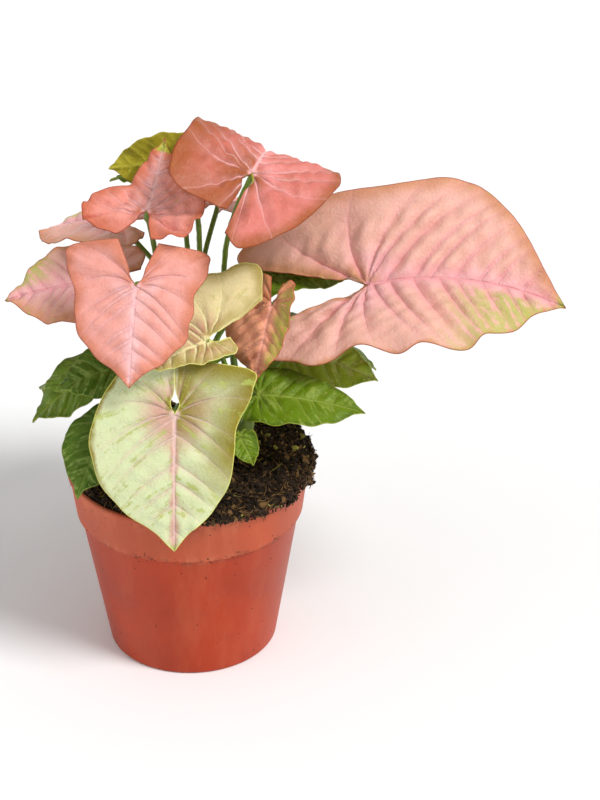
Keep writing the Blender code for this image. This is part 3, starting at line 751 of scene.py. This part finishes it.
def stalk_finish(settings):
    """Fresh green stalks with fine lengthwise streaks, paler low down."""
    finish, shader, start = new_finish("stalk_green", {
        "Roughness": 0.38,
        "Subsurface Weight": settings.glow,
        "Subsurface Radius": (0.6, 0.8, 0.3),
        "Subsurface Scale": 1.5 * MM,
    })
    low = start.position().parts()[2].ramp(0.14, 0.11)
    fine = start.noise(900, 3, where=start.position().scaled(1, 1, 0.1))
    green, pale = settings.stalk, display(160, 176, 96)
    colour = start.noise(60).ramp(0.3, 0.7).blend(dimmed(green, 0.6), green)
    colour = (0.6 * low).blend(colour, pale)
    colour = (0.35 * fine.ramp(0.5, 0.7)).blend(colour, pale)
    wire(shader, "Base Color", colour)
    wire(shader, "Normal", fine.bump(0.1 * MM, 0.5))
    return finish


# Heights on the pot, in metres: of the collar's lower edge, and of the band at the rim that gets
# dust and a painted highlight
COLLAR = 0.0742
RIM_DUST_AND_HIGHLIGHT = (0.086, 0.097)


def pot_finish(settings):
    """Satin terracotta plastic, dusty and flecked with soil at the rim and the collar, which also
    get painted light.
    """
    finish, shader, start = new_finish("terracotta_plastic", {"Specular IOR Level": 0.25})
    height = start.position().parts()[2]
    clouds = start.noise(28, 4)
    grain = start.noise(2400, 2)
    drips = start.noise(70, 5, 0.7, where=start.position().scaled(1, 1, 0.2))
    near_rim = height.ramp(*RIM_DUST_AND_HIGHLIGHT)
    ledge = abs(height - COLLAR).ramp(0.004, 0.0008)
    collar = height.ramp(COLLAR - 0.0012, COLLAR + 0.0018)
    plain = settings.pot
    colour = clouds.ramp(0.3, 0.7).blend(dimmed(plain, 0.8), plain)
    # The lighter colour is dust on the drips and the ledge, dust mixed with a painted highlight at
    # the rim, and painted light over the whole collar
    dust_and_painted_light = drips.ramp(0.42, 0.72) * (0.2 + 0.5 * near_rim + 0.4 * ledge) + 0.35 * collar
    colour = (0.6 * dust_and_painted_light).blend(colour, display(224, 140, 104))
    smear = start.noise(160, 5, 0.7) + 0.12 * near_rim + 0.16 * ledge
    colour = (0.45 * smear.ramp(0.62, 0.8)).blend(colour, display(96, 44, 26))
    speck = start.cells(300).ramp(0.16, 0.08) * start.noise(110).ramp(0.52, 0.6)
    clods = (start.noise(500, 3, 0.7) + 0.06 * near_rim + 0.1 * ledge).ramp(0.70, 0.74)
    marks = speck.most(clods)
    colour = (0.9 * marks).blend(colour, display(44, 28, 20))
    wire(shader, "Base Color", colour)
    roughness = settings.pot_roughness + 0.2 * (clouds - 0.5) + 0.25 * dust_and_painted_light + 0.3 * marks
    wire(shader, "Roughness", roughness)
    wire(shader, "Normal", (grain + 0.6 * drips + 3 * marks).bump(0.06 * MM, 0.6))
    return finish


def soil_finish(settings):
    """Peat: black-brown lumps in deep shade, with tan chips and fibres by their tone."""
    finish, shader, start = new_finish("potting_soil", {"Specular IOR Level": 0.25})
    tone = start.attribute("tone", "Fac")
    grains = start.noise(1500, 4, 0.7)
    lumps = start.noise(260, 5, 0.7)
    dark = settings.soil
    colour = lumps.ramp(0.38, 0.66).blend(dimmed(dark, 0.3), dimmed(dark, 1.5))
    colour = (grains.ramp(0.56, 0.7) * 0.5).blend(colour, display(92, 66, 40))
    colour = (tone.ramp(0.55, 0.8) * (0.4 + grains)).least(1).blend(colour, display(134, 100, 60))
    colour = (0.9 * tone.ramp(0.975, 0.98)).blend(colour, display(176, 168, 80))
    wire(shader, "Base Color", colour)
    wire(shader, "Roughness", 0.7 + 0.25 * grains)
    wire(shader, "Normal", (lumps + 0.6 * grains).bump(0.7 * MM, 0.9))
    return finish


def add_object(name, data):
    """A new object in the scene, with a mesh, a lamp or a lens."""
    made = bpy.data.objects.new(name, data)
    bpy.context.scene.collection.objects.link(made)
    return made


def add_piece(name, mesh, slot, *nodes):
    """A mesh as a piece of the plant, which stands for the nodes that are named."""
    piece = add_object(name, mesh)
    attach(piece, BODY)
    if nodes:
        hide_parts(*nodes)
    return piece


def voxel_remesh(rough, size, rounds):
    """Rebuilds an object's surface evenly, and smooths it."""
    remesh = rough.modifiers.new("Voxels", "REMESH")
    remesh.mode = "VOXEL"
    remesh.voxel_size = size
    smooth = rough.modifiers.new("Smooth", "SMOOTH")
    smooth.factor = 0.5
    smooth.iterations = rounds


def finished_mesh(rough, finish):
    """The mesh that an object's modifiers make, in one finish. The object is removed."""
    graph = bpy.context.evaluated_depsgraph_get()
    mesh = bpy.data.meshes.new_from_object(rough.evaluated_get(graph), depsgraph=graph)
    bpy.data.objects.remove(rough)
    mesh.materials.clear()
    mesh.materials.append(finish)
    mesh.shade_smooth()
    return mesh


def cage_mesh(name, cage, *finishes):
    """The mesh of a finished bmesh, which is freed."""
    mesh = bpy.data.meshes.new(name)
    cage.to_mesh(mesh)
    cage.free()
    for finish in finishes:
        mesh.materials.append(finish)
    return mesh


def turned(profile, sides, rounding=0):
    """A bmesh of a profile turned about the upright axis, with its corners rounded first."""
    cage = bmesh.new()
    points = [cage.verts.new((x, 0, z)) for x, z in profile]
    for near, far in zip(points, points[1:]):
        cage.edges.new((near, far))
    if rounding:
        bmesh.ops.bevel(cage, geom=points[1:-1], offset=rounding, segments=3, profile=0.5,
                        affect="VERTICES", clamp_overlap=True)
    bmesh.ops.spin(cage, geom=cage.verts[:] + cage.edges[:], axis=(0, 0, 1), cent=(0, 0, 0),
                   steps=sides, angle=math.tau, use_merge=True)
    bmesh.ops.remove_doubles(cage, verts=cage.verts[:], dist=SAME_SPOT)
    bmesh.ops.recalc_face_normals(cage, faces=cage.faces[:])
    return cage


class PlantSettings(bpy.types.PropertyGroup):
    """The plant's colours and finishes, and how fine its pieces are."""

    pot: FloatVectorProperty(
        name="Pot", description="The pot's plastic", subtype="COLOR", default=display(178, 56, 14))
    pot_roughness: FloatProperty(
        name="Pot roughness", description="How dull the plastic is", subtype="FACTOR", default=0.42)
    soil: FloatVectorProperty(
        name="Soil", description="The potting soil", subtype="COLOR", default=display(46, 32, 20))
    stalk: FloatVectorProperty(
        name="Stalks", description="The stalks' green", subtype="COLOR",
        default=display(120, 150, 44))
    roughness: FloatProperty(
        name="Blade roughness", description="How dull the blades are", subtype="FACTOR",
        default=0.46)
    glow: FloatProperty(
        name="Glow", description="How much light the blades let through", subtype="FACTOR",
        default=0.25)
    detail: FloatProperty(name="Detail", description="Fineness of the blades' meshes", default=1)
    stalk_voxel: FloatProperty(
        name="Stalk voxel", description="Fineness of the stalks", unit="LENGTH", default=0.6 * MM)
    soil_voxel: FloatProperty(
        name="Soil voxel", description="Fineness of the soil's surface", unit="LENGTH",
        default=1.25 * MM)
    crumbs: IntProperty(name="Crumbs", description="Crumbs that lie on the soil", default=4200)
    fibres: IntProperty(name="Fibres", description="Fibres and chips in the soil", default=3400)
    spilt_crumbs: IntProperty(
        name="Spilt crumbs", description="Crumbs that hang over the rim", default=700)
    spilt_fibres: IntProperty(
        name="Spilt fibres", description="Fibres that hang over the rim", default=420)
    pot_sides: IntProperty(name="Pot sides", description="Sides of the turned pot", default=144)


class StageSettings(bpy.types.PropertyGroup):
    """Camera, lights and floor."""

    elevation: FloatProperty(
        name="Elevation", description="Of the camera above the horizon", subtype="ANGLE",
        default=math.radians(28))
    distance: FloatProperty(
        name="Distance", description="From the camera to what it looks at", unit="LENGTH",
        default=1)
    view_width: FloatProperty(
        name="View width", description="Of what the camera sees there", unit="LENGTH",
        default=0.297)
    key: FloatProperty(name="Key light", description="Strength of the main light", default=2.4)
    fill: FloatProperty(
        name="Fill light", description="Strength of the light from the left", default=0.35)
    sky: FloatProperty(
        name="Sky", description="Strength of the light from all round", default=0.48)
    floor: FloatVectorProperty(
        name="Floor", description="The floor's colour", subtype="COLOR",
        default=(0.93, 0.93, 0.93))


class ARROWHEAD_OT_leaves(bpy.types.Operator):
    """Draw every blade anew from its sizes, with veins and a raised midrib below"""

    bl_idname = "arrowhead.leaves"
    bl_label = "Leaves"

    def execute(self, context):
        settings = context.scene.plant_settings
        slots = {item["node"]: item["material_slot"] for item in frame["record"]["subparts"]}
        finishes = {}
        for look_name, look in LOOKS.items():
            finishes[look_name] = (blade_finish(f"blade_{look_name}", look, settings),
                                   underside_finish(f"underside_{look_name}", look, settings))
        for name, leaf in LEAVES.items():
            mesh = blade_mesh(name + "_fine", leaf, settings.detail)
            for finish in finishes[leaf.look]:
                mesh.materials.append(finish)
            add_piece(name + "_fine", mesh, slots[name], name)
        return {"FINISHED"}


# The fine stalks, in millimetres
STALK_SWELL = 0.12  # gives back what the smoothing takes from a stalk
KNUCKLE_REACH = 3  # down the stalk from its end
KNUCKLE_RADII = (1.5, 1.2)  # below and at the blade


def stalk_end(leaf):
    """Where a stalk ends, just under the blade's joint, its direction, and the blade's normal."""
    turn = blade_place(leaf).to_3x3().normalized()
    slope = math.radians(leaf.arch) / 2
    normal = turn @ Vector((-math.sin(slope), 0, math.cos(slope)))
    ahead = turn @ Vector((math.cos(slope), 0, math.sin(slope)))
    lean = math.radians(STALK_LEAN)
    droop = math.radians(max(0, -min(leaf.fold)))
    clear = BLADE_THICKNESS / 2 + STALK_GAP + STALK_RADIUS * (math.sin(lean) + math.tan(droop))
    direction = normal * math.cos(lean) + ahead * math.sin(lean)
    return MM * (Vector(leaf.joint) - clear * normal), direction, normal


def add_knuckle(cage, leaf):
    """The swelling that joins a stalk's end to the underside of its blade."""
    end, direction, normal = stalk_end(leaf)
    low = end - KNUCKLE_REACH * MM * direction
    high = MM * (Vector(leaf.joint) - 0.1 * normal)
    axis = high - low
    turn = axis.to_track_quat("Z", "Y").to_matrix().to_4x4()
    bmesh.ops.create_cone(cage, cap_ends=True, segments=12, radius1=KNUCKLE_RADII[0] * MM,
                          radius2=KNUCKLE_RADII[1] * MM, depth=axis.length,
                          matrix=Matrix.Translation((low + high) / 2) @ turn)


class ARROWHEAD_OT_shoots(bpy.types.Operator):
    """Smooth the stems and the stalks, and join each stalk to its blade"""

    bl_idname = "arrowhead.shoots"
    bl_label = "Shoots"

    def execute(self, context):
        settings = context.scene.plant_settings
        finish = stalk_finish(settings)
        for shoot in sorted({leaf.shoot for leaf in LEAVES.values()}):
            node = f"shoot_{shoot}"
            cage = bmesh.new()
            cage.from_mesh(frame["nodes"][node].data)
            for leaf in LEAVES.values():
                if leaf.shoot == shoot:
                    add_knuckle(cage, leaf)
            rough = add_object(node + "_rough", cage_mesh(node, cage))
            voxel_remesh(rough, settings.stalk_voxel, rounds=6)
            swell = rough.modifiers.new("Swell", "DISPLACE")
            swell.strength = STALK_SWELL * MM
            swell.mid_level = 0
            add_piece(node + "_fine", finished_mesh(rough, finish), "shoot", node)
        return {"FINISHED"}


def soil_height(point):
    """How far the soil stands out at a point, in millimetres."""
    lumps = noise.voronoi(point * 230)[0][0]
    return (2.2 * noise.noise(point * 75) + 3 * (0.45 - lumps)
            + 0.9 * noise.noise(point * 420) + 0.5 * noise.noise(point * 900))


def crumb_form():
    """The points and the faces of a small ball of unit size, about its centre."""
    cage = bmesh.new()
    bmesh.ops.create_icosphere(cage, subdivisions=1, radius=0.5)
    points = [vertex.co.copy() for vertex in cage.verts]
    faces = [[vertex.index for vertex in face.verts] for face in cage.faces]
    cage.free()
    return points, faces


def fibre_form():
    """The faces of a fibre, whose points stand in rings from end to end."""
    last = (FIBRE_RINGS - 1) * FIBRE_SIDES
    faces = [list(range(FIBRE_SIDES))[::-1], list(range(last, last + FIBRE_SIDES))]
    for ring in range(0, last, FIBRE_SIDES):
        for side in range(FIBRE_SIDES):
            near, after = ring + side, ring + (side + 1) % FIBRE_SIDES
            faces.append([near, after, after + FIBRE_SIDES, near + FIBRE_SIDES])
    return faces


CRUMB_POINTS, CRUMB_FACES = crumb_form()
FIBRE_RINGS = 5
FIBRE_SIDES = 3

# Sizes in millimetres: the least, and what the greatest has more
CRUMB_SIZE = (0.8, 3.4)
FIBRE_LENGTH = (2, 7)
FIBRE_RADIUS = (0.18, 0.35)


def drawn_size(size, rarity, draw):
    """A size in metres, which is seldom great where rarity is high."""
    least, more = size
    return MM * (least + more * draw.random() ** rarity)


def crumb(spot, normal, draw):
    """The points and the tone of a lump of peat: a ball, stretched, turned and dented."""
    size = drawn_size(CRUMB_SIZE, 3, draw)
    turn = Matrix.Rotation(draw.uniform(0, math.tau), 3, Vector((draw.random(), 1, draw.random())))
    stretch = [draw.uniform(low, high) for low, high in ((0.6, 1.4), (0.6, 1.2), (0.4, 0.9))]
    form = size * turn @ Matrix.Diagonal(stretch)
    centre = spot + 0.2 * size * normal
    points = []
    for point in CRUMB_POINTS:
        dent = Vector([draw.uniform(-0.15, 0.15) * size for _ in range(3)])
        points.append(centre + form @ point + dent)
    return points, draw.random() ** 3


def fibre(spot, normal, draw):
    """The points and the tone of a short bent fibre or chip that lies about level."""
    length = drawn_size(FIBRE_LENGTH, 2, draw)
    radius = drawn_size(FIBRE_RADIUS, 4, draw)
    level = normal.orthogonal().normalized()
    level.rotate(Matrix.Rotation(draw.uniform(0, math.tau), 3, normal))
    direction = (level + draw.uniform(-0.15, 0.5) * normal).normalized()
    across = direction.orthogonal().normalized()
    bend = 0.7 * Vector([draw.uniform(-1, 1) for _ in range(3)])
    middle = spot + 0.6 * MM * normal
    points = []
    for ring in range(FIBRE_RINGS):
        share = ring / (FIBRE_RINGS - 1)
        centre = middle + length * ((share - 0.4) * direction + (share - 0.5) ** 2 * bend)
        thick = radius * (1 - 0.6 * abs(2 * share - 0.8))
        for side in range(FIBRE_SIDES):
            around = Matrix.Rotation(math.tau * side / FIBRE_SIDES, 3, direction) @ across
            points.append(centre + thick * around)
    return points, draw.random() ** 0.6


# The lumps of the soil's surface, in millimetres
LUMPS_START = 0.4  # above the rim
LUMPS_RISE = 1.2  # this much further up, they have their whole height
LUMPS_CENTRE = 30  # below the rim, the point that they stand out from

# Where crumbs and fibres are strewn
TOP_REACH = 1.03  # how far out, as a share of the rim's radius
RAY_START = 0.16  # the height in metres from which rays look down for the soil

# Where the soil hangs over the rim, in radians from the right, and how deep in millimetres
SPILL_ANGLES = (-1.5, 0.7)
SPILL_MIDDLE = -0.45
SPILL_HALF_WIDTH = 1.05
SPILL_DEPTH = 7


class ARROWHEAD_OT_soil(bpy.types.Operator):
    """Roughen the potting soil, strew crumbs and fibres on it, and spill some over the rim"""

    bl_idname = "arrowhead.soil"
    bl_label = "Soil"

    def execute(self, context):
        settings = context.scene.plant_settings
        self.radius, _, self.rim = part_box("pot")[1]
        self.finish = soil_finish(settings)
        self.make_ground(settings)
        crumbs, fibres = (crumb, CRUMB_FACES), (fibre, fibre_form())
        for name, seed, count, spots, kind in (
            ("soil_crumbs", 21, settings.crumbs, self.top_spots, crumbs),
            ("soil_spill", 23, settings.spilt_crumbs, self.spill_spots, crumbs),
            ("soil_fibres", 22, settings.fibres, self.top_spots, fibres),
            ("soil_spill_fibres", 24, settings.spilt_fibres, self.spill_spots, fibres),
        ):
            draw = random.Random(seed)
            self.strew(name, spots(count, draw), *kind, draw)
        return {"FINISHED"}

    def make_ground(self, settings):
        """The soil's own surface, with lumps and hollows where it is open to view."""
        rough = add_object("soil_rough", frame["nodes"]["soil"].data.copy())
        voxel_remesh(rough, settings.soil_voxel, rounds=3)
        mesh = finished_mesh(rough, self.finish)
        low = self.rim + LUMPS_START * MM
        centre = Vector((0, 0, self.rim - LUMPS_CENTRE * MM))
        for vertex in mesh.vertices:
            open_share = min(1, max(0, (vertex.co.z - low) / (LUMPS_RISE * MM)))
            away = (vertex.co - centre).normalized()
            vertex.co += MM * open_share * soil_height(vertex.co) * away
        store(mesh, "tone", np.zeros(len(mesh.vertices)), "POINT")
        self.ground = add_piece("soil_fine", mesh, "soil", "soil")

    def strew(self, name, spots, bit, bit_faces, draw):
        """A piece of one bit at each spot, each with its own tone."""
        bits, tones = zip(*(bit(spot, normal, draw) for spot, normal in spots))
        size = len(bits[0])
        faces = [[corner + size * index for corner in face]
                 for index in range(len(bits)) for face in bit_faces]
        mesh = bpy.data.meshes.new(name)
        mesh.from_pydata([point for points in bits for point in points], [], faces)
        mesh.materials.append(self.finish)
        store(mesh, "tone", np.repeat(tones, size), "POINT")
        add_piece(name, mesh, "soil")

    def top_spots(self, count, draw):
        """Places on the soil's open surface."""
        found = 0
        while found < count:
            angle = draw.uniform(0, math.tau)
            reach = self.radius * draw.random() ** 0.5 * TOP_REACH
            start = Vector((reach * math.cos(angle), reach * math.sin(angle), RAY_START))
            hit, spot, normal, _ = self.ground.ray_cast(start, Vector((0, 0, -1)))
            if hit and spot.z > self.rim:
                found += 1
                yield spot, normal

    def spill_spots(self, count, draw):
        """Places at the rim on the right and the front, where the soil hangs over."""
        found = 0
        while found < count:
            angle = draw.uniform(*SPILL_ANGLES)
            aside = (angle - SPILL_MIDDLE) / SPILL_HALF_WIDTH
            hang = SPILL_DEPTH * MM * max(0, 1 - aside**2)
            hang *= 0.75 + 0.8 * noise.noise(Vector((6 * angle, 0, 0)))
            drop = draw.random() ** 1.4 * hang
            out = self.radius + MM * draw.uniform(-1.5, 1.8)
            if hang > 0.5 * MM:
                found += 1
                outward = Vector((math.cos(angle), math.sin(angle), 0))
                yield out * outward + Vector((0, 0, self.rim + 2 * MM - drop)), outward


# The pot's wall as a profile, in millimetres, up the inside and down the outside
POT_PROFILE = (
    (0, 1.8), (18.7, 1.8), (20, 4.2), (36, 4.2), (37.3, 3.0), (41.2, 4.2), (53.3, 72.7),
    (55.1, 75.3), (57.6, 97.4), (58.2, 98), (59.4, 98), (60, 97.4), (60, 95.6), (59, 95),
    (56.4, 74.5), (55.9, 74), (54.6, 74), (42.5, 1), (41.5, 0), (36, 0), (34.7, 2.4), (21.3, 2.4),
    (20, 0), (0, 0),
)
POT_ROUNDING = 0.3
SHARP_ANGLE = math.radians(35)
DRAIN_HOLES = 8
DRAIN_RADIUS = 3
DRAIN_RING = 28
DRILL_LENGTH = 16


class ARROWHEAD_OT_pot(bpy.types.Operator):
    """Turn the pot with soft edges and drill its drain holes"""

    bl_idname = "arrowhead.pot"
    bl_label = "Pot"

    def execute(self, context):
        settings = context.scene.plant_settings
        profile = [(MM * x, MM * z) for x, z in POT_PROFILE]
        cage = turned(profile, settings.pot_sides, POT_ROUNDING * MM)
        wall = add_object("pot_wall", cage_mesh("pot_wall", cage))
        drills = add_object("pot_drills", cage_mesh("pot_drills", self.drills()))
        cut = wall.modifiers.new("Drain holes", "BOOLEAN")
        cut.object = drills
        mesh = finished_mesh(wall, pot_finish(settings))
        bpy.data.objects.remove(drills)
        mesh.set_sharp_from_angle(angle=SHARP_ANGLE)
        add_piece("pot_fine", mesh, "pot", "pot")
        return {"FINISHED"}

    def drills(self):
        cage = bmesh.new()
        for index in range(DRAIN_HOLES):
            angle = math.tau * (index + 0.5) / DRAIN_HOLES
            spot = DRAIN_RING * MM * Vector((math.cos(angle), math.sin(angle), 0))
            bmesh.ops.create_cone(
                cage, cap_ends=True, segments=24, radius1=DRAIN_RADIUS * MM,
                radius2=DRAIN_RADIUS * MM, depth=DRILL_LENGTH * MM,
                matrix=Matrix.Translation(spot))
        return cage


# The stage, in metres: the flat floor's radius and its bend up, and what the camera looks at
FLOOR_RADIUS = 9
FLOOR_BEND = 2
TARGET = (0.0549, 0.0152, 0.124)

# Where each light shines from, and how wide it looks, in degrees
LIGHTS = {"key": ((0.75, -0.55, 1.15), 20), "fill": ((-1.1, -0.8, 0.9), 60)}


class ARROWHEAD_OT_stage(bpy.types.Operator):
    """Set the pale floor, the soft lights and the camera"""

    bl_idname = "arrowhead.stage"
    bl_label = "Stage"

    def execute(self, context):
        settings = context.scene.stage_settings
        self.make_floor(settings)
        self.make_camera(context.scene, settings)
        self.make_lights(context.scene, settings)
        context.scene.view_settings.view_transform = "Standard"
        return {"FINISHED"}

    def make_floor(self, settings):
        """A round floor that curves up into a low wall, so that no horizon shows."""
        finish, shader, start = new_finish("pale_floor", {"Roughness": 0.9})
        plain = settings.floor
        wire(shader, "Base Color", start.noise(3, 2).blend(dimmed(plain, 0.99), plain))
        profile = [(0, 0)]
        for angle in np.linspace(0, math.pi / 2, 13):
            profile.append((FLOOR_RADIUS + FLOOR_BEND * math.sin(angle),
                            FLOOR_BEND * (1 - math.cos(angle))))
        mesh = cage_mesh("floor", turned(profile, 96), finish)
        mesh.shade_smooth()
        add_object("floor", mesh)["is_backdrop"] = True

    def make_camera(self, scene, settings):
        tilt = settings.elevation
        lens = bpy.data.cameras.new("camera")
        lens.sensor_fit = "HORIZONTAL"
        lens.lens = lens.sensor_width * settings.distance / settings.view_width
        camera = add_object("camera", lens)
        back = Vector((0, -math.cos(tilt), math.sin(tilt)))
        camera.location = Vector(TARGET) + settings.distance * back
        camera.rotation_euler = (math.pi / 2 - tilt, 0, 0)
        scene.camera = camera

    def make_lights(self, scene, settings):
        for name, (spot, width) in LIGHTS.items():
            lamp = bpy.data.lights.new(name, "SUN")
            lamp.energy = getattr(settings, name)
            lamp.angle = math.radians(width)
            light = add_object(name, lamp)
            light.location = spot
            light.rotation_euler = (-Vector(spot)).to_track_quat("-Z", "Y").to_euler()
        world = bpy.data.worlds.new("studio")
        world.use_nodes = True
        background = world.node_tree.nodes["Background"]
        background.inputs["Color"].default_value = (1, 1, 1, 1)
        background.inputs["Strength"].default_value = settings.sky
        scene.world = world


OPERATORS = (ARROWHEAD_OT_stage, ARROWHEAD_OT_pot, ARROWHEAD_OT_soil, ARROWHEAD_OT_shoots,
             ARROWHEAD_OT_leaves)
SETTINGS = {"plant_settings": PlantSettings, "stage_settings": StageSettings}


class ARROWHEAD_PT_sidebar(bpy.types.Panel):
    """The operators and the settings of the plant and its stage"""

    bl_idname = "ARROWHEAD_PT_sidebar"
    bl_label = "Arrowhead"
    bl_space_type = "VIEW_3D"
    bl_region_type = "UI"
    bl_category = "Arrowhead"

    def draw(self, context):
        for operator in OPERATORS:
            self.layout.operator(operator.bl_idname)
        for name, group in SETTINGS.items():
            for setting in group.__annotations__:
                self.layout.prop(getattr(context.scene, name), setting)


CLASSES = (*SETTINGS.values(), *OPERATORS, ARROWHEAD_PT_sidebar)


def register():
    for kind in CLASSES:
        bpy.utils.register_class(kind)
    for name, group in SETTINGS.items():
        setattr(bpy.types.Scene, name, PointerProperty(type=group))


def unregister():
    for name in SETTINGS:
        delattr(bpy.types.Scene, name)
    for kind in reversed(CLASSES):
        bpy.utils.unregister_class(kind)


def main():
    register()
    bpy.ops.arrowhead.stage()
    bpy.ops.arrowhead.pot()
    bpy.ops.arrowhead.soil()
    bpy.ops.arrowhead.shoots()
    bpy.ops.arrowhead.leaves()
    boxes = {"cad": cad_bounds, "visual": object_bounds()}
    {name: [list(corner) for corner in box] for name, box in boxes.items()}


if __name__ == "__main__":
    main()
